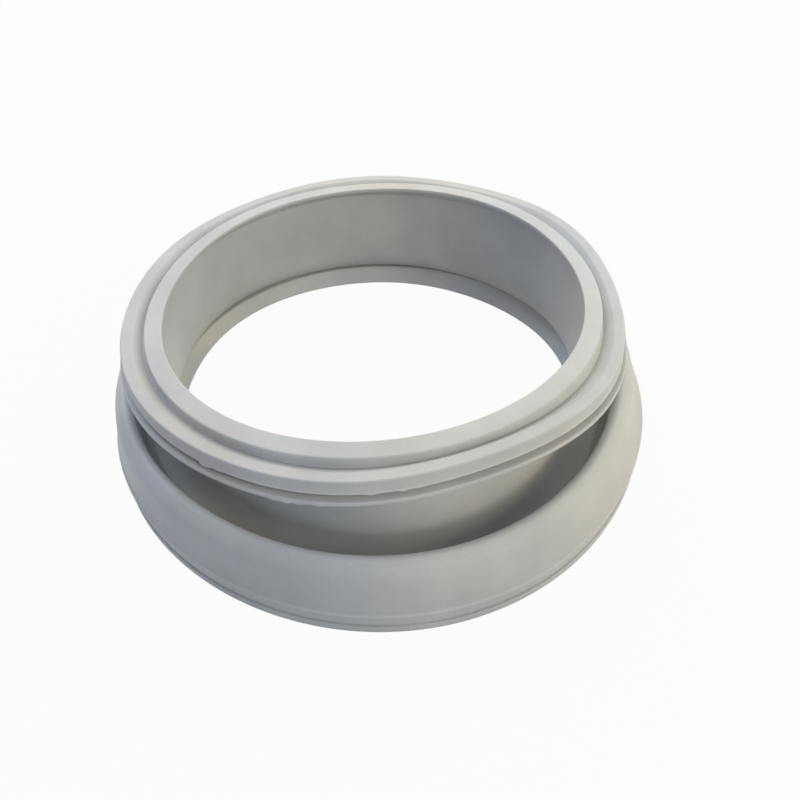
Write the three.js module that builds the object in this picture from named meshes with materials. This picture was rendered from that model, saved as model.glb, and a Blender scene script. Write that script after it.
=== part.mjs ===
// Door seal of a front-loading washing machine: one moulded rubber bellows, in millimetres, +Z up.
// The seal stands on its tub end, with the door end on top and the axis of the drum along Z.
import * as THREE from 'three';

// Door rim: the flat ring that the door glass presses on
const rimInnerRadius = 138.8;
const rimWidth = 11.6;
const rimAboveLip = 2.8;
const rimBeadDepth = 6.5;
const rimBeadTaper = 10;
const rimEdgeFillet = 1;

// Groove between rim and lip, which holds the ring that pulls the seal tight on the front panel
const ringGrooveDepth = 3.6;
const ringGrooveFloor = 0.6;
const ringGrooveInnerDraft = 0.8;
const ringGrooveOuterDraft = 6;
const ringGrooveFillet = 0.5;

// Lip in front of the panel, and the rib behind it, with the slot for the panel's edge between them
const lipRadius = 165;
const lipTopHeight = 100;
const lipWallHeight = 9.6;
const lipEdgeFillet = 1.2;
const slotHeight = 3.8;
const slotRootRadius = 154.5;
const ribRadius = 168.2;
const ribEdgeThickness = 2.8;
const ribRootThickness = 4.8;
const ribRootFillet = 4;
const ribEdgeFillet = 0.8;

// Neck: the sleeve that the laundry passes through, and the wall that all the folds share
const neckInnerRadius = 145.2;
const wallThickness = 4.1;
const rimRootFillet = 6;

// Fold: the neck turns outwards into a valley and climbs again to the shoulder
const valleyFloorHeight = 22;
const valleyInnerFillet = 16;
const valleyOuterRadius = 171.6;
const valleyOuterFillet = 5;
const shoulderInnerRadius = 173.2;
const shoulderTopHeight = 58.7;
const shoulderInnerFillet = 4.4;
const shoulderOuterRadius = 184.8;
const shoulderOuterHeight = 51.4;
const shoulderOuterFillet = 14;

// Tub end: skirt with a fine ridge, seat and groove of the wire clamp, and the bead below them
const ridgeRadius = 192.9;
const ridgeHeight = 17.2;
const ridgeDepth = 1.2;
const ridgeCrestWidth = 0.7;
const ridgeBaseWidth = 2.8;
const clampSeatRadius = 191.3;
const clampGrooveHeight = 6.4;
const clampGrooveWidth = 1.8;
const clampGrooveDepth = 2.4;
const clampGrooveFillet = 0.6;
const beadRadius = 192.2;
const beadFillet = 1.4;

// Channel in the foot that sits on the tub's rim
const channelWidth = 3.4;
const channelDepth = 7.5;
const channelOuterWall = 6.2;
const footInnerLeg = 4;
const footInsideFillet = 2;

// Apron: the inner lip that leans up under the fold and down again to close the gap towards the drum
const apronInnerRadius = 148.5;
const apronEdgeHeight = 5;
const apronEdgeThickness = 2.2;
const apronEdgeFillet = 0.7;
const apronCrestRadius = 158.6;
const apronCrestHeight = 17;
const apronCrestFillet = 2;
const apronKneeRadius = 160.5;
const apronKneeHeight = 13.2;
const apronRootUnderside = 8;
const apronRootTop = 12.6;

// How finely the round shapes are divided
const turnSegments = 64;
const arcStep = THREE.MathUtils.degToRad(26);
const shortestFacet = 1.5;

// A corner of the section: distance from the axis, height above the foot, and the fillet that rounds it
const corner = (radius, height, fillet = 0) => ({ point: new THREE.Vector2(radius, height), fillet });

// The point where two lines meet, each given by a point and a direction
function meet(pointA, directionA, pointB, directionB) {
  const between = pointB.clone().sub(pointA);
  const along = between.cross(directionB) / directionA.cross(directionB);
  return pointA.clone().addScaledVector(directionA, along);
}

// Turns one corner into the points of its fillet, or keeps it sharp
function roundCorner(previous, here, next) {
  if (here.fillet <= 0) return [here.point];
  const back = previous.point.clone().sub(here.point).normalize();
  const ahead = next.point.clone().sub(here.point).normalize();
  const halfAngle = Math.acos(THREE.MathUtils.clamp(back.dot(ahead), -1, 1)) / 2;
  const turn = Math.PI - 2 * halfAngle;
  const middle = back.clone().add(ahead).normalize();
  const centre = here.point.clone().addScaledVector(middle, here.fillet / Math.sin(halfAngle));
  const facets = Math.min(turn / arcStep, (turn * here.fillet) / shortestFacet);
  const steps = Math.max(1, Math.round(facets));
  const side = Math.sign(ahead.cross(back));
  const start = middle.clone().negate().angle() - (side * turn) / 2;
  const points = [];
  for (let step = 0; step <= steps; step++) {
    const angle = start + (side * turn * step) / steps;
    const arm = new THREE.Vector2(Math.cos(angle), Math.sin(angle));
    points.push(centre.clone().addScaledVector(arm, here.fillet));
  }
  return points;
}

// Door end, from the rim's inner edge over the groove and the lip to the root of the rib
function doorEnd() {
  const rimTop = lipTopHeight + rimAboveLip;
  const rimOuterRadius = rimInnerRadius + rimWidth;
  const grooveFloor = lipTopHeight - ringGrooveDepth;
  const grooveInner = rimOuterRadius + ringGrooveInnerDraft;
  const grooveOuter = grooveInner + ringGrooveFloor;
  const slotTop = lipTopHeight - lipWallHeight;
  const slotBottom = slotTop - slotHeight;
  return [
    corner(rimInnerRadius, rimTop, rimEdgeFillet),
    corner(rimOuterRadius, rimTop, rimEdgeFillet),
    corner(grooveInner, grooveFloor, ringGrooveFillet),
    corner(grooveOuter, grooveFloor, ringGrooveFillet),
    corner(grooveOuter + ringGrooveOuterDraft, lipTopHeight, lipEdgeFillet),
    corner(lipRadius, lipTopHeight, lipEdgeFillet),
    corner(lipRadius, slotTop),
    corner(slotRootRadius, slotTop),
    corner(slotRootRadius, slotBottom),
    corner(ribRadius, slotBottom, ribEdgeFillet),
    corner(ribRadius, slotBottom - ribEdgeThickness, ribEdgeFillet),
    corner(neckInnerRadius + wallThickness, slotBottom - ribRootThickness, ribRootFillet),
  ];
}

// Outer face of the bellows: down the neck, through the valley and over the shoulder
function outerFold() {
  return [
    corner(neckInnerRadius + wallThickness, valleyFloorHeight, valleyInnerFillet),
    corner(valleyOuterRadius, valleyFloorHeight, valleyOuterFillet),
    corner(shoulderInnerRadius, shoulderTopHeight, shoulderInnerFillet),
    corner(shoulderOuterRadius, shoulderOuterHeight, shoulderOuterFillet),
  ];
}

// Tub end: ridge, clamp seat, clamp groove and bead outside, then foot, channel and apron below
function tubEnd() {
  const skirtRadius = ridgeRadius - ridgeDepth;
  const grooveTop = clampGrooveHeight + clampGrooveWidth / 2;
  const grooveBottom = clampGrooveHeight - clampGrooveWidth / 2;
  const grooveRadius = beadRadius - clampGrooveDepth;
  const channelOuter = beadRadius - channelOuterWall;
  const channelInner = channelOuter - channelWidth;
  const legInner = channelInner - footInnerLeg;
  return [
    corner(skirtRadius, ridgeHeight + ridgeBaseWidth / 2),
    corner(ridgeRadius, ridgeHeight + ridgeCrestWidth / 2),
    corner(ridgeRadius, ridgeHeight - ridgeCrestWidth / 2),
    corner(skirtRadius, ridgeHeight - ridgeBaseWidth / 2),
    corner(clampSeatRadius, grooveTop),
    corner(grooveRadius, grooveTop),
    corner(grooveRadius, grooveBottom),
    corner(beadRadius, grooveBottom, clampGrooveFillet),
    corner(beadRadius, 0, beadFillet),
    corner(channelOuter, 0),
    corner(channelOuter, channelDepth),
    corner(channelInner, channelDepth),
    corner(channelInner, 0),
    corner(legInner, 0),
    corner(legInner, apronRootUnderside),
    corner(apronKneeRadius, apronKneeHeight, apronCrestFillet),
    corner(apronInnerRadius, apronEdgeHeight, apronEdgeFillet),
    corner(apronInnerRadius, apronEdgeHeight + apronEdgeThickness, apronEdgeFillet),
    corner(apronCrestRadius, apronCrestHeight, apronCrestFillet),
  ];
}

// Inner face of the bellows: the outer face set in by the wall's thickness, taken from foot to rim
function innerFold() {
  const outer = outerFold().map((entry) => entry.point);
  const skirtFoot = new THREE.Vector2(ridgeRadius - ridgeDepth, ridgeHeight + ridgeBaseWidth / 2);
  const setIn = (from, to) => {
    const direction = to.clone().sub(from).normalize();
    const normal = new THREE.Vector2(direction.y, -direction.x);
    return { point: from.clone().addScaledVector(normal, wallThickness), direction };
  };
  const cross = (a, b) => meet(a.point, a.direction, b.point, b.direction);
  const valleyLine = setIn(outer[0], outer[1]);
  const climbLine = setIn(outer[1], outer[2]);
  const topLine = setIn(outer[2], outer[3]);
  const skirtLine = setIn(outer[3], skirtFoot);
  const rootLine = {
    point: new THREE.Vector2(apronCrestRadius, apronRootTop),
    direction: new THREE.Vector2(1, 0),
  };
  const footInside = cross(skirtLine, rootLine);
  const crest = cross(topLine, skirtLine);
  const apex = cross(climbLine, topLine);
  const valley = cross(valleyLine, climbLine);
  const beadHeight = lipTopHeight + rimAboveLip - rimBeadDepth;
  return [
    corner(footInside.x, footInside.y, footInsideFillet),
    corner(crest.x, crest.y, shoulderOuterFillet - wallThickness),
    corner(apex.x, apex.y, shoulderInnerFillet - wallThickness),
    corner(valley.x, valley.y, valleyOuterFillet + wallThickness),
    corner(neckInnerRadius, valley.y, valleyInnerFillet + wallThickness),
    corner(neckInnerRadius, beadHeight - rimBeadTaper, rimRootFillet),
    corner(rimInnerRadius, beadHeight, rimRootFillet),
  ];
}

// The whole section as one closed outline
function sectionPoints() {
  const corners = [...doorEnd(), ...outerFold(), ...tubEnd(), ...innerFold()];
  const count = corners.length;
  const points = corners.flatMap((here, index) =>
    roundCorner(corners[(index + count - 1) % count], here, corners[(index + 1) % count]),
  );
  points.reverse();
  points.push(points[0].clone());
  return points;
}

const greyRubber = new THREE.MeshStandardMaterial({
  name: 'grey_rubber',
  color: new THREE.Color(0.66, 0.66, 0.63),
  roughness: 0.5,
  metalness: 0,
});

const sealGeometry = new THREE.LatheGeometry(sectionPoints(), turnSegments);
sealGeometry.rotateX(Math.PI / 2);

const doorSeal = new THREE.Mesh(sealGeometry, greyRubber);
doorSeal.name = 'door_seal';

const washingMachineDoorSeal = new THREE.Group();
washingMachineDoorSeal.add(doorSeal);

export default washingMachineDoorSeal;
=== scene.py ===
import math
import bpy
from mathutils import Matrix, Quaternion, Vector


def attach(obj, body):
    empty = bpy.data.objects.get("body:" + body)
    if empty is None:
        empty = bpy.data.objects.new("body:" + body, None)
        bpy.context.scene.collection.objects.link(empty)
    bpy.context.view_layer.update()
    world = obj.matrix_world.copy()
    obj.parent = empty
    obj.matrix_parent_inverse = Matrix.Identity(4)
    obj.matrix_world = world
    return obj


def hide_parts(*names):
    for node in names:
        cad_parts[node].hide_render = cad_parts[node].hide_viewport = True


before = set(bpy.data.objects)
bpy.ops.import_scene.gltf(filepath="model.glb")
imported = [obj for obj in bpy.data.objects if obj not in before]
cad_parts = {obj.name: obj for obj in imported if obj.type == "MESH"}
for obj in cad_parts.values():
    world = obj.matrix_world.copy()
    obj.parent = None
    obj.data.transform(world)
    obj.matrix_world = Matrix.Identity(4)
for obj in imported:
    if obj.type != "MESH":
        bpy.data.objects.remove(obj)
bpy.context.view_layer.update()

millimetre = 0.001
scene = bpy.context.scene


# section of the bellows, with sizes in mm: radius from the drum's axis, height above the foot
sealSizes = {
    "rimInnerRadius": 138.8, "rimWidth": 11.6, "rimAboveLip": 2.8, "rimInnerRise": 1.1, "rimOuterDrop": 0.3,
    "rimBeadDepth": 1.4, "rimBeadTaper": 7, "rimInnerFillet": 0.6, "rimEdgeFillet": 1.0, "rimLowerFillet": 0.6,
    "rimRootFillet": 3,
    "grooveDepth": 3.6, "grooveFloor": 0.6, "grooveInnerDraft": 0.8, "grooveOuterDraft": 6, "grooveFillet": 0.5,
    "lipRadius": 165, "lipTopHeight": 100, "lipWallHeight": 9.6, "lipEdgeFillet": 1.2,
    "partingDepth": 0.45, "partingHeight": 1.2, "slotHeight": 3.8, "slotRootRadius": 154.5,
    "ribRadius": 168.2, "ribEdgeThickness": 2.8, "ribRootThickness": 4.8, "ribRootFillet": 4, "ribEdgeFillet": 0.8,
    "neckInnerRadius": 145.2, "wallThickness": 4.1,
    "valleyFloorHeight": 22, "valleyInnerFillet": 16, "valleyOuterRadius": 171.6, "valleyOuterFillet": 5,
    "shoulderInnerRadius": 173.2, "shoulderTopHeight": 58.7, "shoulderInnerFillet": 4.4,
    "shoulderOuterRadius": 184.8, "shoulderOuterHeight": 51.4, "shoulderOuterFillet": 14,
    "ridgeRadius": 192.9, "ridgeHeight": 17.2, "ridgeDepth": 1.2, "ridgeCrestWidth": 0.7, "ridgeBaseWidth": 2.8,
    "clampSeatRadius": 191.3, "clampGrooveHeight": 6.4, "clampGrooveWidth": 1.8, "clampGrooveDepth": 2.4,
    "clampGrooveFillet": 0.6, "beadRadius": 192.2, "beadFillet": 1.4,
    "channelWidth": 3.4, "channelDepth": 7.5, "channelOuterWall": 6.2, "footInnerLeg": 4, "footInsideFillet": 2,
    "apronInnerRadius": 148.5, "apronEdgeHeight": 5, "apronEdgeThickness": 2.2, "apronEdgeFillet": 0.7,
    "apronCrestRadius": 158.6, "apronCrestHeight": 14.8, "apronCrestFillet": 2,
    "apronKneeRadius": 160.5, "apronKneeHeight": 11.6, "apronRootUnderside": 8, "apronRootTop": 12.6,
    "mouldFillet": 0.35,       # the least rounding that a moulded edge has
    "arcStep": 8,              # degrees of a fillet to each facet
    "shortestFacet": 0.45,     # facets of a small fillet are about this long
    "supportGap": 0.45,        # a row of points this far from each fillet keeps the flats flat
    "longestFacet": 7.0,       # straight walls are cut into pieces up to this long
    "shortWallGaps": 3,        # a wall shorter than this many gaps gets no rows of its own
    "leastTurn": 0.02,         # a corner that turns by less than this, in radians, stays one point
    "turnSegments": 288,
}


def meetLines(pointA, pointB, pointC, pointD):
    # where the line A-B crosses the line C-D
    a, b, c, d = (Vector(p) for p in (pointA, pointB, pointC, pointD))
    r, s = b - a, d - c
    along = (c - a).cross(s) / r.cross(s)
    return a + r * along


def insetLine(start, end, distance):
    # a line moved to the side, towards the inner face of the wall
    a, b = Vector(start), Vector(end)
    side = Vector((b.y - a.y, a.x - b.x)).normalized() * distance
    return a + side, b + side


# what each corner is like: the ring that it bends with (2 rim, 1 lip, 0 fold, -1 foot, or between two of them)
# and its painted light and shade, a factor on the colour: darker in the hollows where shade falls, lighter where
# light falls more
sealBendsAndPaintedShade = {
    "rim": (2, 1.075),
    "grooveInside": (1.6, 0.95),
    "grooveOutside": (1.5, 0.85),
    "lipInside": (1, 1.02),
    "lipEdge": (1, 1.03),
    "lipWallFoot": (1, 1.05),
    "partingLine": (1, 1.08),
    "slotRoot": (1, 0.9),
    "rib": (1, 1.05),
    "ribRoot": (1, 1.11),
    "neckFoot": (0, 0.84),
    "valley": (0, 0.66),
    "shoulder": (0, 1.06),
    "skirtTop": (0, 1.03),
    "skirtFoot": (-1, 0.96),
    "foot": (-1, 1),
    "apronKnee": (-0.5, 1),
    "apronEdgeBelow": (0, 1.1),
    "apronEdge": (0, 1.2),
    "apronCrest": (-0.5, 1.2),
    "foldInside": (0, 1),
    "innerWallFoot": (0, 0.98),
    "rimRoot": (1.4, 0.9),
    "rimBelow": (2, 0.9),
}


# a corner is its radius, its height, its fillet and the name of its entry for bend and painted light and shade
def doorEndCorners(s):
    top = s["lipTopHeight"] + s["rimAboveLip"]
    rimOuter = s["rimInnerRadius"] + s["rimWidth"]
    floorHeight = s["lipTopHeight"] - s["grooveDepth"]
    grooveInner = rimOuter + s["grooveInnerDraft"]
    grooveOuter = grooveInner + s["grooveFloor"]
    slotTop = s["lipTopHeight"] - s["lipWallHeight"]
    slotBottom = slotTop - s["slotHeight"]
    partingRadius = s["lipRadius"] + s["partingDepth"]
    neckOuter = s["neckInnerRadius"] + s["wallThickness"]
    small = s["mouldFillet"]
    return [
        (s["rimInnerRadius"], top + s["rimInnerRise"], s["rimInnerFillet"], "rim"),
        (rimOuter, top - s["rimOuterDrop"], s["rimEdgeFillet"], "rim"),
        (grooveInner, floorHeight, s["grooveFillet"], "grooveInside"),
        (grooveOuter, floorHeight, s["grooveFillet"], "grooveOutside"),
        (grooveOuter + s["grooveOuterDraft"], s["lipTopHeight"], s["lipEdgeFillet"], "lipInside"),
        (s["lipRadius"], s["lipTopHeight"], s["lipEdgeFillet"], "lipEdge"),
        (s["lipRadius"], slotTop + s["partingHeight"], small, "lipWallFoot"),
        (partingRadius, slotTop + small, small / 2, "partingLine"),
        (partingRadius, slotTop, small / 2, "partingLine"),
        (s["slotRootRadius"], slotTop, small, "slotRoot"),
        (s["slotRootRadius"], slotBottom, small, "slotRoot"),
        (s["ribRadius"], slotBottom, s["ribEdgeFillet"], "rib"),
        (s["ribRadius"], slotBottom - s["ribEdgeThickness"], s["ribEdgeFillet"], "rib"),
        (neckOuter, slotBottom - s["ribRootThickness"], s["ribRootFillet"], "ribRoot"),
    ]


def outerFoldCorners(s):
    neckOuter = s["neckInnerRadius"] + s["wallThickness"]
    return [
        (neckOuter, s["valleyFloorHeight"], s["valleyInnerFillet"], "neckFoot"),
        (s["valleyOuterRadius"], s["valleyFloorHeight"], s["valleyOuterFillet"], "valley"),
        (s["shoulderInnerRadius"], s["shoulderTopHeight"], s["shoulderInnerFillet"], "shoulder"),
        (s["shoulderOuterRadius"], s["shoulderOuterHeight"], s["shoulderOuterFillet"], "skirtTop"),
    ]


def tubEndCorners(s):
    skirt = s["ridgeRadius"] - s["ridgeDepth"]
    grooveTop = s["clampGrooveHeight"] + s["clampGrooveWidth"] / 2
    grooveBottom = s["clampGrooveHeight"] - s["clampGrooveWidth"] / 2
    grooveRadius = s["beadRadius"] - s["clampGrooveDepth"]
    channelOuter = s["beadRadius"] - s["channelOuterWall"]
    channelInner = channelOuter - s["channelWidth"]
    legInner = channelInner - s["footInnerLeg"]
    apronEdgeTop = s["apronEdgeHeight"] + s["apronEdgeThickness"]
    small = s["mouldFillet"]
    return [
        (skirt, s["ridgeHeight"] + s["ridgeBaseWidth"] / 2, small, "skirtFoot"),
        (s["ridgeRadius"], s["ridgeHeight"] + s["ridgeCrestWidth"] / 2, small / 2, "foot"),
        (s["ridgeRadius"], s["ridgeHeight"] - s["ridgeCrestWidth"] / 2, small / 2, "foot"),
        (skirt, s["ridgeHeight"] - s["ridgeBaseWidth"] / 2, small, "foot"),
        (s["clampSeatRadius"], grooveTop, small, "foot"),
        (grooveRadius, grooveTop, small, "foot"),
        (grooveRadius, grooveBottom, small, "foot"),
        (s["beadRadius"], grooveBottom, s["clampGrooveFillet"], "foot"),
        (s["beadRadius"], 0, s["beadFillet"], "foot"),
        (channelOuter, 0, small, "foot"),
        (channelOuter, s["channelDepth"], small, "foot"),
        (channelInner, s["channelDepth"], small, "foot"),
        (channelInner, 0, small, "foot"),
        (legInner, 0, small, "foot"),
        (legInner, s["apronRootUnderside"], small, "foot"),
        (s["apronKneeRadius"], s["apronKneeHeight"], s["apronCrestFillet"], "apronKnee"),
        (s["apronInnerRadius"], s["apronEdgeHeight"], s["apronEdgeFillet"], "apronEdgeBelow"),
        (s["apronInnerRadius"], apronEdgeTop, s["apronEdgeFillet"], "apronEdge"),
        (s["apronCrestRadius"], s["apronCrestHeight"], s["apronCrestFillet"], "apronCrest"),
    ]


def innerFoldCorners(s):
    # the inner face runs one wall's thickness inside the outer one
    wall = s["wallThickness"]
    fold = [corner[:2] for corner in outerFoldCorners(s)]
    skirtFoot = (s["ridgeRadius"] - s["ridgeDepth"], s["ridgeHeight"] + s["ridgeBaseWidth"] / 2)
    valleyLine = insetLine(fold[0], fold[1], wall)
    climbLine = insetLine(fold[1], fold[2], wall)
    topLine = insetLine(fold[2], fold[3], wall)
    skirtLine = insetLine(fold[3], skirtFoot, wall)
    footInside = meetLines(*skirtLine, (0, s["apronRootTop"]), (1, s["apronRootTop"]))
    crest = meetLines(*topLine, *skirtLine)
    apex = meetLines(*climbLine, *topLine)
    valley = meetLines(*valleyLine, *climbLine)
    bead = s["lipTopHeight"] + s["rimAboveLip"] - s["rimBeadDepth"]
    return [
        (footInside.x, footInside.y, s["footInsideFillet"], "foot"),
        (crest.x, crest.y, s["shoulderOuterFillet"] - wall, "foldInside"),
        (apex.x, apex.y, s["shoulderInnerFillet"] - wall, "foldInside"),
        (valley.x, valley.y, s["valleyOuterFillet"] + wall, "foldInside"),
        (s["neckInnerRadius"], valley.y, s["valleyInnerFillet"] + wall, "innerWallFoot"),
        (s["neckInnerRadius"], bead - s["rimBeadTaper"], s["rimRootFillet"], "rimRoot"),
        (s["rimInnerRadius"], bead, s["rimLowerFillet"], "rimBelow"),
    ]


def filletPoints(before, here, after, s, bendsAndPaintedShade):
    # one corner as the points of its arc: radius, height, ring and painted light and shade
    radius, height, fillet, bendAndShadeName = here
    point = Vector((radius, height))
    back = (Vector(before[:2]) - point).normalized()
    ahead = (Vector(after[:2]) - point).normalized()
    halfAngle = math.acos(max(-1, min(1, back.dot(ahead)))) / 2
    turn = math.pi - 2 * halfAngle
    if fillet <= 0 or turn < s["leastTurn"]:
        return [(radius, height, *bendsAndPaintedShade[bendAndShadeName])]
    middle = (back + ahead).normalized()
    centre = point + middle * (fillet / math.sin(halfAngle))
    side = 1 if ahead.cross(back) > 0 else -1
    start = math.atan2(-middle.y, -middle.x) - side * turn / 2
    byAngle = math.ceil(turn / math.radians(s["arcStep"]))
    byLength = math.ceil(turn * fillet / s["shortestFacet"])
    steps = max(2, min(byAngle, byLength))
    points = []
    for number in range(steps + 1):
        angle = start + side * turn * number / steps
        across, up = fillet * math.cos(angle), fillet * math.sin(angle)
        points.append((centre.x + across, centre.y + up, *bendsAndPaintedShade[bendAndShadeName]))
    return points


def wallPoints(start, end, s):
    # rows beside the fillets at both ends of a wall and along it; the ring eases from one end to the other
    length = (end.xy - start.xy).length
    gap = s["supportGap"]
    if length < s["shortWallGaps"] * gap:
        return []
    inner = length - 2 * gap
    pieces = max(1, math.ceil(inner / s["longestFacet"]))
    points = []
    for piece in range(pieces + 1):
        along = (gap + inner * piece / pieces) / length
        here = start.lerp(end, along)
        if start.z != end.z:
            here.z = start.z + (end.z - start.z) * along * along * (3 - 2 * along)
        points.append(tuple(here))
    return points


def sectionPoints(s, bendsAndPaintedShade):
    # the closed section, from the rim's inner edge outwards, down, and back up inside
    corners = doorEndCorners(s) + outerFoldCorners(s) + tubEndCorners(s) + innerFoldCorners(s)
    count = len(corners)
    arcs = [filletPoints(corners[i - 1], corners[i], corners[(i + 1) % count], s, bendsAndPaintedShade) for i in range(count)]
    points = []
    for number, arc in enumerate(arcs):
        nextArc = arcs[(number + 1) % count]
        points += arc + wallPoints(Vector(arc[-1]), Vector(nextArc[0]), s)
    return points


def outlineMesh(name, points, turnRadius, flashPlaces):
    # the section as a loop of edges, with its ring and its painted light and shade kept on each point
    mesh = bpy.data.meshes.new(name)
    places = [((point[0] - turnRadius) * millimetre, -point[1] * millimetre, 0) for point in points]
    edges = [(i, (i + 1) % len(places)) for i in range(len(places))]
    mesh.from_pydata(places, edges, [])
    # the fourth value of each point is painted light and shade, kept as a factor on the colour
    kept = {"bendRing": [point[2] for point in points], "paintedLightAndShade": [point[3] for point in points]}
    for flashName, (low, high, least) in flashPlaces.items():
        kept[flashName] = [float(low < height < high and radius > least) for radius, height, *rest in points]
    for attributeName, amounts in kept.items():
        values = mesh.attributes.new(attributeName, "FLOAT", "POINT")
        values.data.foreach_set("value", amounts)
    return mesh


# look of the grey rubber
rubberLook = {
    "warmGrey": (0.626, 0.616, 0.578, 1),
    "midGrey": (0.606, 0.612, 0.588, 1),
    "coolGrey": (0.578, 0.602, 0.600, 1),
    "cloudScale": 8, "cloudReach": (0.38, 0.62),     # warmer and cooler grey, in clouds as wide as a hand
    "patchScale": 20, "patchShade": (0.935, 1.065),  # soft lighter and darker patches
    "streakScale": 60, "streakLength": 7, "streakShade": (0.985, 1.015),     # faint streaks down the walls
    "speckScale": 800, "speckShade": (0.975, 1.025),
    "noiseEnds": (0.3, 0.7),                         # where nearly all of a noise's values lie
    "roughness": (0.44, 0.56), "specularLevel": 0.3,
    "waveScale": 24, "waveHeight": 0.0009, "waveStrength": 0.5,       # the soft waves of a thin wall
    "grainScale": 950, "grainHeight": 0.00007, "grainStrength": 0.6,  # the satin skin that the mould leaves
}


def addNode(tree, kind, place, **settings):
    node = tree.nodes.new(kind)
    node.location = (place[0] * 190, place[1] * -170)
    for key, value in settings.items():
        setattr(node, key, value)
    return node


def mathNode(tree, operation, place, *values):
    node = addNode(tree, "ShaderNodeMath", place, operation=operation)
    for socket, value in zip(node.inputs, values):
        if isinstance(value, bpy.types.NodeSocket):
            tree.links.new(value, socket)
        else:
            socket.default_value = value
    return node.outputs[0]


def addNoise(tree, place, vector, scale, detail):
    noise = addNode(tree, "ShaderNodeTexNoise", place)
    noise.inputs["Scale"].default_value = scale
    noise.inputs["Detail"].default_value = detail
    tree.links.new(vector, noise.inputs["Vector"])
    return noise.outputs["Fac"]


def addRange(tree, place, value, fromEnds, toEnds):
    ranged = addNode(tree, "ShaderNodeMapRange", place)
    for socket, amount in zip(("From Min", "From Max", "To Min", "To Max"), (*fromEnds, *toEnds)):
        ranged.inputs[socket].default_value = amount
    tree.links.new(value, ranged.inputs["Value"])
    return ranged.outputs["Result"]


def makeRubber(look):
    material = bpy.data.materials.new("greyRubber")
    material.use_nodes = True
    tree = material.node_tree
    tree.nodes.clear()
    link = tree.links.new
    output = addNode(tree, "ShaderNodeOutputMaterial", (9, 0))
    shader = addNode(tree, "ShaderNodeBsdfPrincipled", (8, 0))
    shader.inputs["Specular IOR Level"].default_value = look["specularLevel"]
    link(shader.outputs["BSDF"], output.inputs["Surface"])
    place = addNode(tree, "ShaderNodeTexCoord", (0, 0)).outputs["Object"]

    # colour: warm, middle and cool grey in clouds
    cloud = addNoise(tree, (1, 0), place, look["cloudScale"], detail=3)
    cloud = addRange(tree, (2, 0), cloud, look["cloudReach"], (0, 1))
    greys = addNode(tree, "ShaderNodeValToRGB", (3, 0))
    greys.color_ramp.elements[0].color = look["coolGrey"]
    greys.color_ramp.elements[1].color = look["warmGrey"]
    greys.color_ramp.elements.new(0.5).color = look["midGrey"]
    link(cloud, greys.inputs["Fac"])

    # shade: patches, streaks and specks, and the painted light and shade of each part of the section (darker
    # hollows, lighter apron and crests)
    noiseEnds = look["noiseEnds"]
    patch = addNoise(tree, (1, 1), place, look["patchScale"], detail=2)
    patch = addRange(tree, (2, 1), patch, noiseEnds, look["patchShade"])
    stretch = addNode(tree, "ShaderNodeMapping", (0, 2))
    stretch.inputs["Scale"].default_value = (1, 1, 1 / look["streakLength"])
    link(place, stretch.inputs["Vector"])
    streak = addNoise(tree, (1, 2), stretch.outputs["Vector"], look["streakScale"], detail=2)
    streak = addRange(tree, (2, 2), streak, noiseEnds, look["streakShade"])
    speck = addNoise(tree, (1, 3), place, look["speckScale"], detail=1)
    speck = addRange(tree, (2, 3), speck, noiseEnds, look["speckShade"])
    # painted light and shade kept on the points: painted shade in the hollows, painted highlight on the apron and
    # crests
    paintedLightAndShade = addNode(tree, "ShaderNodeAttribute", (3, 3), attribute_name="paintedLightAndShade").outputs["Fac"]
    shade = mathNode(tree, "MULTIPLY", (3, 1), patch, streak)
    shade = mathNode(tree, "MULTIPLY", (4, 1), shade, speck)
    shade = mathNode(tree, "MULTIPLY", (5, 1), shade, paintedLightAndShade)
    colour = addNode(tree, "ShaderNodeVectorMath", (6, 0), operation="SCALE")
    link(greys.outputs["Color"], colour.inputs[0])
    link(shade, colour.inputs["Scale"])
    link(colour.outputs["Vector"], shader.inputs["Base Color"])

    # gloss and skin: one height after the other, the waves and the grain on them
    link(addRange(tree, (7, 2), cloud, (0, 1), look["roughness"]), shader.inputs["Roughness"])
    normal = None
    for row, (kind, detail) in enumerate((("wave", 1), ("grain", 2))):
        bump = addNode(tree, "ShaderNodeBump", (6 + row, 4))
        bump.inputs["Strength"].default_value = look[f"{kind}Strength"]
        bump.inputs["Distance"].default_value = look[f"{kind}Height"]
        link(addNoise(tree, (1, 4 + row), place, look[f"{kind}Scale"], detail), bump.inputs["Height"])
        if normal is not None:
            link(normal, bump.inputs["Normal"])
        normal = bump.outputs["Normal"]
    link(normal, shader.inputs["Normal"])
    return material


greyRubber = makeRubber(rubberLook)
print("rubber ready")


# The rubber is soft, so no ring of it is a true circle. For each ring, how far it lies outwards and upwards, in
# mm: (cosine, sine) for one wave round the ring, two waves and so on, counted from the front towards +X.
ringWaves = {
    "Rim": {
        "ring": 2,
        "out": [(0.46, 0.43), (-0.84, -0.67), (-0.89, -0.41), (-0.30, -0.07)],
        "rise": [(0.90, 0.91), (0.35, -0.06), (0.29, 0.14), (-0.38, 0.11)],
    },
    "Lip": {
        "ring": 1,
        "out": [(0.05, 0.06), (-1.51, -0.25), (-1.24, -0.26), (-0.54, -0.35), (-0.11, -0.56), (0.93, -0.24)],
        "rise": [(-0.24, 0.45), (0.08, -0.27), (0.70, 0.44), (0.13, 0.70), (-0.20, 0.06)],
    },
    "Fold": {
        "ring": 0,
        "out": [(0.11, -1.15), (2.88, 1.31), (1.93, -0.02), (-0.05, 0.80), (-0.13, 0.41), (0.05, -0.34)],
        "rise": [(1.88, -0.09), (0.20, 0.15), (-0.04, -0.34)],
    },
    "Foot": {
        "ring": -1,
        "out": [(-0.67, 1.98), (1.73, 0.60), (0.90, 0.50), (0.26, 0.53)],
        "rise": [],
    },
}


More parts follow.
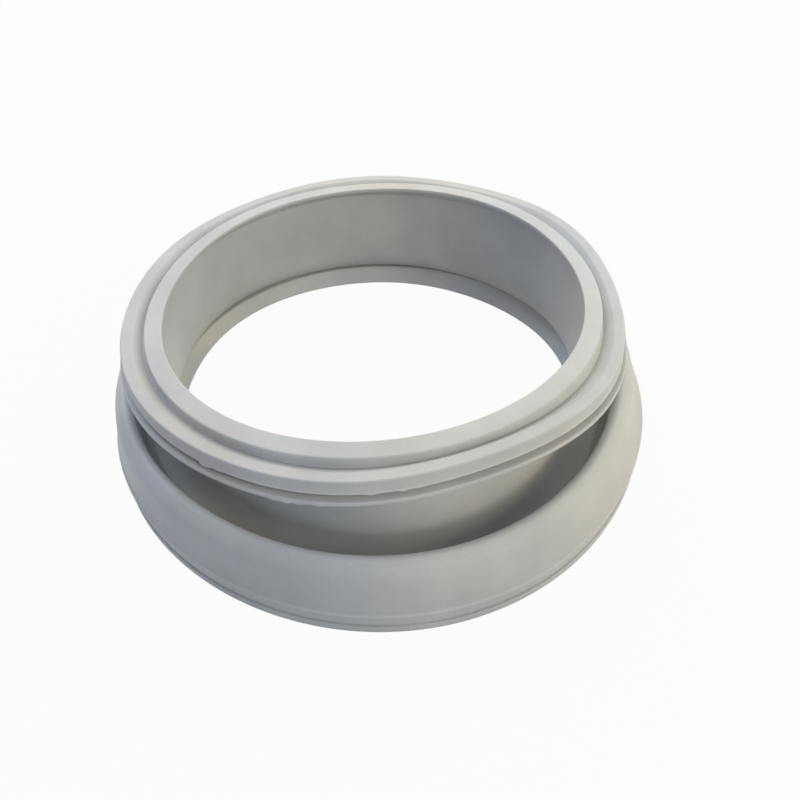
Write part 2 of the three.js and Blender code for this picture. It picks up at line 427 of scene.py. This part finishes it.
# the mould leaves thin flash on the lower edges of lip and rib, torn in a few places
flashLook = {
    "ragged": 0.16,          # mm that the flash hangs out, less or more by a noise
    "raggedScale": 150,
    "edgeReach": 0.1,        # mm above and below the edge that still count as flash
    "lipOutside": 0.2,       # and only what lies this far outside the lip's wall
    "ribInside": 0.5,        # or no further than this inside the rib's edge
    # each tear: degrees from the front towards +X, half its width in degrees, its depth in mm
    "lipFlash": [(-37.0, 1.7, 1.5), (-34.0, 1.3, 0.5), (-2.5, 1.4, 0.5), (3.8, 1.4, 0.6), (7.0, 1.3, 0.4)],
    "ribFlash": [(-21.3, 1.3, 0.7), (-18.8, 1.4, 1.0), (-16.3, 1.3, 0.6), (-12.5, 1.3, 0.4)],
}


def waveInputs(waves):
    # every input of the tree that bends the rings: its name and its value in mm
    inputs = []
    for name, ring in waves.items():
        for way in ("out", "rise"):
            for number, pair in enumerate(ring[way], 1):
                for kind, amount in zip(("cos", "sin"), pair):
                    inputs.append((f"{name} {way} {kind} {number}", amount))
    return inputs


def addTurnSockets(tree, waves):
    kinds = {
        "Geometry": "NodeSocketGeometry", "Turn Segments": "NodeSocketInt", "Turn Radius": "NodeSocketFloat",
        "Material": "NodeSocketMaterial", "Ragged": "NodeSocketFloat", "Ragged Scale": "NodeSocketFloat",
    }
    kinds.update((name, "NodeSocketFloat") for name, amount in waveInputs(waves))
    for name, kind in kinds.items():
        tree.interface.new_socket(name, in_out="INPUT", socket_type=kind)
    tree.interface.new_socket("Geometry", in_out="OUTPUT", socket_type="NodeSocketGeometry")


def addKept(tree, place, name):
    # a value that the section keeps on its points
    node = addNode(tree, "GeometryNodeInputNamedAttribute", place, data_type="FLOAT")
    node.inputs["Name"].default_value = name
    return node.outputs["Attribute"]


def addShare(tree, place, value, middle, width=None):
    # 1 where the value is the middle, and less and less down to 0 at the width, or at 1, away from it
    column, row = place
    apart = mathNode(tree, "SUBTRACT", (column, row), value, float(middle))
    near = mathNode(tree, "ABSOLUTE", (column + 1, row), apart)
    if width is not None:
        near = mathNode(tree, "DIVIDE", (column + 2, row), near, width)
    left = mathNode(tree, "SUBTRACT", (column + 3, row), 1.0, near)
    return mathNode(tree, "MAXIMUM", (column + 4, row), left, 0.0)


def addRingWaves(tree, entry, angle, waves):
    # how far each point moves outwards and upwards with the rings that it is on or between
    longest = max(len(ring[way]) for ring in waves.values() for way in ("out", "rise"))
    turns = {}
    for number in range(1, longest + 1):
        turnAngle = mathNode(tree, "MULTIPLY", (5, number * 2), angle, float(number))
        turns["cos", number] = mathNode(tree, "COSINE", (6, number * 2), turnAngle)
        turns["sin", number] = mathNode(tree, "SINE", (6, number * 2 + 1), turnAngle)
    bend = addKept(tree, (1, 7), "bendRing")
    moves = {"out": 0.0, "rise": 0.0}
    for row, (name, ring) in enumerate(waves.items()):
        share = addShare(tree, (7, row * 6), bend, ring["ring"])
        for lower, way in enumerate(("out", "rise")):
            wave = 0.0
            for number in range(1, len(ring[way]) + 1):
                for kind in ("cos", "sin"):
                    amount = entry.outputs[f"{name} {way} {kind} {number}"]
                    place = (12 + number * 0.5, row * 6 + lower * 2)
                    wave = mathNode(tree, "MULTIPLY_ADD", place, turns[kind, number], amount, wave)
            if ring[way]:
                moves[way] = mathNode(tree, "MULTIPLY_ADD", (16, row * 6), wave, share, moves[way])
    return moves


def addFlash(tree, entry, position, angle, flash, moves):
    # flash hangs outwards and down from the edges that have it
    degrees = mathNode(tree, "DEGREES", (5, -2), angle)
    noise = addNode(tree, "ShaderNodeTexNoise", (5, -3))
    tree.links.new(position, noise.inputs["Vector"])
    tree.links.new(entry.outputs["Ragged Scale"], noise.inputs["Scale"])
    hanging = mathNode(tree, "MULTIPLY", (6, -3), noise.outputs["Fac"], entry.outputs["Ragged"])
    for number, name in enumerate(("lipFlash", "ribFlash")):
        row = -4 - number * 3
        mask = addKept(tree, (7, row), name)
        depth = hanging
        for column, (middle, width, tear) in enumerate(flash[name], 8):
            share = addShare(tree, (column, row), degrees, middle, width)
            depth = mathNode(tree, "MULTIPLY_ADD", (column + 5, row), share, tear * millimetre, depth)
        drop = mathNode(tree, "MULTIPLY", (16, row), depth, -1.0)
        moves["out"] = mathNode(tree, "MULTIPLY_ADD", (17, row), depth, mask, moves["out"])
        moves["rise"] = mathNode(tree, "MULTIPLY_ADD", (17, row + 1), drop, mask, moves["rise"])
    return moves


def addOffset(tree, parts, moves):
    # the moves outwards and upwards as one vector
    link = tree.links.new
    across = addNode(tree, "ShaderNodeCombineXYZ", (3, 5))
    link(parts.outputs["X"], across.inputs["X"])
    link(parts.outputs["Y"], across.inputs["Y"])
    outward = addNode(tree, "ShaderNodeVectorMath", (4, 5), operation="NORMALIZE")
    link(across.outputs["Vector"], outward.inputs[0])
    push = addNode(tree, "ShaderNodeVectorMath", (17, 3), operation="SCALE")
    link(outward.outputs["Vector"], push.inputs[0])
    link(moves["out"], push.inputs["Scale"])
    lift = addNode(tree, "ShaderNodeCombineXYZ", (17, 6))
    link(moves["rise"], lift.inputs["Z"])
    offset = addNode(tree, "ShaderNodeVectorMath", (18, 3), operation="ADD")
    link(push.outputs["Vector"], offset.inputs[0])
    link(lift.outputs["Vector"], offset.inputs[1])
    return offset.outputs["Vector"]


def makeTurnTree(waves, flash):
    tree = bpy.data.node_groups.new("turnSection", "GeometryNodeTree")
    addTurnSockets(tree, waves)
    link = tree.links.new
    entry = addNode(tree, "NodeGroupInput", (0, 0))
    leave = addNode(tree, "NodeGroupOutput", (20, 0))
    section = addNode(tree, "GeometryNodeMeshToCurve", (1, 0))
    circle = addNode(tree, "GeometryNodeCurvePrimitiveCircle", (1, 1))
    turned = addNode(tree, "GeometryNodeCurveToMesh", (2, 0))
    link(entry.outputs["Geometry"], section.inputs["Mesh"])
    link(entry.outputs["Turn Segments"], circle.inputs["Resolution"])
    link(entry.outputs["Turn Radius"], circle.inputs["Radius"])
    link(circle.outputs["Curve"], turned.inputs["Curve"])
    link(section.outputs["Curve"], turned.inputs["Profile Curve"])

    # the angle of each point, from the front towards +X
    position = addNode(tree, "GeometryNodeInputPosition", (1, 3)).outputs["Position"]
    parts = addNode(tree, "ShaderNodeSeparateXYZ", (2, 3))
    link(position, parts.inputs["Vector"])
    frontward = mathNode(tree, "MULTIPLY", (3, 4), parts.outputs["Y"], -1.0)
    angle = mathNode(tree, "ARCTAN2", (4, 3), parts.outputs["X"], frontward)
    moves = addRingWaves(tree, entry, angle, waves)
    moves = addFlash(tree, entry, position, angle, flash, moves)

    setPlace = addNode(tree, "GeometryNodeSetPosition", (16, 0))
    smooth = addNode(tree, "GeometryNodeSetShadeSmooth", (17, 0))
    realize = addNode(tree, "GeometryNodeRealizeInstances", (18, 0))
    setMaterial = addNode(tree, "GeometryNodeSetMaterial", (19, 0))
    link(addOffset(tree, parts, moves), setPlace.inputs["Offset"])
    link(entry.outputs["Material"], setMaterial.inputs["Material"])
    chain = (turned.outputs["Mesh"], setPlace, smooth, realize, setMaterial, leave)
    for before, after in zip(chain, chain[1:]):
        given = before if isinstance(before, bpy.types.NodeSocket) else before.outputs["Geometry"]
        link(given, after.inputs["Geometry"])
    return tree


def setInput(modifier, name, value):
    for item in modifier.node_group.interface.items_tree:
        if item.item_type == "SOCKET" and item.in_out == "INPUT" and item.name == name:
            modifier[item.identifier] = value


def makeBellows(sizes, bendsAndPaintedShade, waves, flash, material):
    points = sectionPoints(sizes, bendsAndPaintedShade)
    turnRadius = sizes["lipRadius"]
    lipFoot = sizes["lipTopHeight"] - sizes["lipWallHeight"]
    ribFoot = lipFoot - sizes["slotHeight"] - sizes["ribEdgeThickness"]
    reach = flash["edgeReach"]
    lipTop = lipFoot + sizes["mouldFillet"] + reach
    ribTop = ribFoot + sizes["ribEdgeFillet"] + reach
    # each place of flash: from and up to which height, and from which radius
    flashPlaces = {
        "lipFlash": (lipFoot - reach, lipTop, turnRadius + flash["lipOutside"]),
        "ribFlash": (ribFoot - reach, ribTop, sizes["ribRadius"] - flash["ribInside"]),
    }
    outline = bpy.data.objects.new("sealOutline", outlineMesh("sealOutline", points, turnRadius, flashPlaces))
    scene.collection.objects.link(outline)
    modifier = outline.modifiers.new("turnSection", "NODES")
    modifier.node_group = makeTurnTree(waves, flash)
    setInput(modifier, "Turn Segments", sizes["turnSegments"])
    setInput(modifier, "Turn Radius", turnRadius * millimetre)
    setInput(modifier, "Material", material)
    setInput(modifier, "Ragged", flash["ragged"] * millimetre)
    setInput(modifier, "Ragged Scale", float(flash["raggedScale"]))
    for name, amount in waveInputs(waves):
        setInput(modifier, name, amount * millimetre)
    graph = bpy.context.evaluated_depsgraph_get()
    mesh = bpy.data.meshes.new_from_object(outline.evaluated_get(graph), depsgraph=graph)
    outline.modifiers.remove(modifier)
    bpy.data.objects.remove(outline)
    bellows = bpy.data.objects.new("doorSealBellows", mesh)
    scene.collection.objects.link(bellows)
    return bellows


bellows = makeBellows(sealSizes, sealBendsAndPaintedShade, ringWaves, flashLook, greyRubber)
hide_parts("door_seal")
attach(bellows, "root")
print("bellows turned:", len(bellows.data.vertices), "points,", len(bellows.data.polygons), "faces")


# floor, room and lamps
studio = {
    "floorColour": (0.50, 0.50, 0.50, 1),
    "floorSize": 6.0,
    "whiteShare": 0.96,          # how much of the floor's brightness before the camera is plain white
    "roomColour": (0.704, 0.778, 1.0, 1),
    "roomStrength": 0.29,
    "lampReach": 1.6,            # metres from each lamp to the seal
    "lampSize": 0.9,
    "aim": (0, 0, 0.05),
    # each lamp: degrees from +X towards +Y, degrees above the floor, watts, colour
    "lamps": {
        "rightLamp": (0, 15, 5.0, (1.0, 0.883, 0.611)),
        "backRightLamp": (45, 30, 4.9, (0.910, 1.0, 0.965)),
        "backLamp": (90, 50, 8.5, (1.0, 0.855, 0.620)),
        "backLeftLowLamp": (135, 15, 5.3, (1.0, 0.750, 0.480)),
        "backLeftLamp": (135, 50, 6.1, (0.640, 0.780, 1.0)),
        "frontLamp": (270, 30, 2.7, (0.641, 0.722, 1.0)),
        "frontRightLamp": (315, 30, 7.6, (1.0, 0.944, 0.692)),
    },
}


def seenRays(tree, place):
    # 1 for the rays that show the background: straight from the camera, in a gloss or through glass
    path = addNode(tree, "ShaderNodeLightPath", place)
    rays = [path.outputs[f"Is {kind} Ray"] for kind in ("Camera", "Glossy", "Transmission")]
    seen = mathNode(tree, "MAXIMUM", (place[0] + 1, place[1]), rays[0], rays[1])
    return mathNode(tree, "MAXIMUM", (place[0] + 1, place[1] + 1), seen, rays[2])


def makeFloor(look):
    size = look["floorSize"] / 2
    mesh = bpy.data.meshes.new("paleFloor")
    corners = [(-size, -size, 0), (size, -size, 0), (size, size, 0), (-size, size, 0)]
    mesh.from_pydata(corners, [], [(0, 1, 2, 3)])
    floor = bpy.data.objects.new("paleFloor", mesh)
    scene.collection.objects.link(floor)
    material = bpy.data.materials.new("paleFloor")
    material.use_nodes = True
    tree = material.node_tree
    tree.nodes.clear()
    link = tree.links.new
    output = addNode(tree, "ShaderNodeOutputMaterial", (4, 0))
    matt = addNode(tree, "ShaderNodeBsdfDiffuse", (1, 0))
    matt.inputs["Color"].default_value = look["floorColour"]
    white = addNode(tree, "ShaderNodeEmission", (1, 1))
    white.inputs["Strength"].default_value = 1.0
    amount = mathNode(tree, "MULTIPLY", (2, 2), seenRays(tree, (0, 2)), look["whiteShare"])
    mix = addNode(tree, "ShaderNodeMixShader", (3, 0))
    link(amount, mix.inputs["Fac"])
    link(matt.outputs["BSDF"], mix.inputs[1])
    link(white.outputs["Emission"], mix.inputs[2])
    link(mix.outputs["Shader"], output.inputs["Surface"])
    mesh.materials.append(material)


def makeRoom(look):
    world = bpy.data.worlds.new("paleRoom")
    world.use_nodes = True
    tree = world.node_tree
    tree.nodes.clear()
    link = tree.links.new
    output = addNode(tree, "ShaderNodeOutputWorld", (4, 0))
    soft = addNode(tree, "ShaderNodeBackground", (1, 0))
    soft.inputs["Color"].default_value = look["roomColour"]
    soft.inputs["Strength"].default_value = look["roomStrength"]
    white = addNode(tree, "ShaderNodeBackground", (1, 1))
    white.inputs["Color"].default_value = (1, 1, 1, 1)
    mix = addNode(tree, "ShaderNodeMixShader", (3, 0))
    link(seenRays(tree, (0, 2)), mix.inputs["Fac"])
    link(soft.outputs["Background"], mix.inputs[1])
    link(white.outputs["Background"], mix.inputs[2])
    link(mix.outputs["Shader"], output.inputs["Surface"])
    scene.world = world


def makeLamp(name, look, turn, height, power, colour):
    light = bpy.data.lights.new(name, "AREA")
    light.shape = "DISK"
    light.size = look["lampSize"]
    light.energy = power
    light.color = colour
    lamp = bpy.data.objects.new(name, light)
    aim = Vector(look["aim"])
    turn, height = math.radians(turn), math.radians(height)
    flat = math.cos(height)
    way = Vector((flat * math.cos(turn), flat * math.sin(turn), math.sin(height)))
    lamp.location = aim + way * look["lampReach"]
    lamp.rotation_euler = way.to_track_quat("Z", "Y").to_euler()
    scene.collection.objects.link(lamp)


makeFloor(studio)
makeRoom(studio)
for lampName, (turn, height, power, colour) in studio["lamps"].items():
    makeLamp(lampName, studio, turn, height, power, colour)

cameraView = {
    "place": (0.0, -0.43989, 0.42765),
    "aim": (0.014434, -0.050122, 0.05),
    "tilt": -2.0975,      # degrees about the line of sight
    "focalLength": 36.28,
    "sensorWidth": 36,
    "nearest": 0.01,      # metres before the camera from which things show
}


def makeCamera(look):
    data = bpy.data.cameras.new("photoCamera")
    data.sensor_width = look["sensorWidth"]
    data.lens = look["focalLength"]
    data.clip_start = look["nearest"]
    camera = bpy.data.objects.new("photoCamera", data)
    place = Vector(look["place"])
    sight = (Vector(look["aim"]) - place).to_track_quat("-Z", "Y")
    camera.rotation_mode = "QUATERNION"
    camera.rotation_quaternion = sight @ Quaternion((0, 0, 1), math.radians(look["tilt"]))
    camera.location = place
    scene.collection.objects.link(camera)
    scene.camera = camera


makeCamera(cameraView)
scene.view_settings.view_transform = "Standard"
print("studio ready")
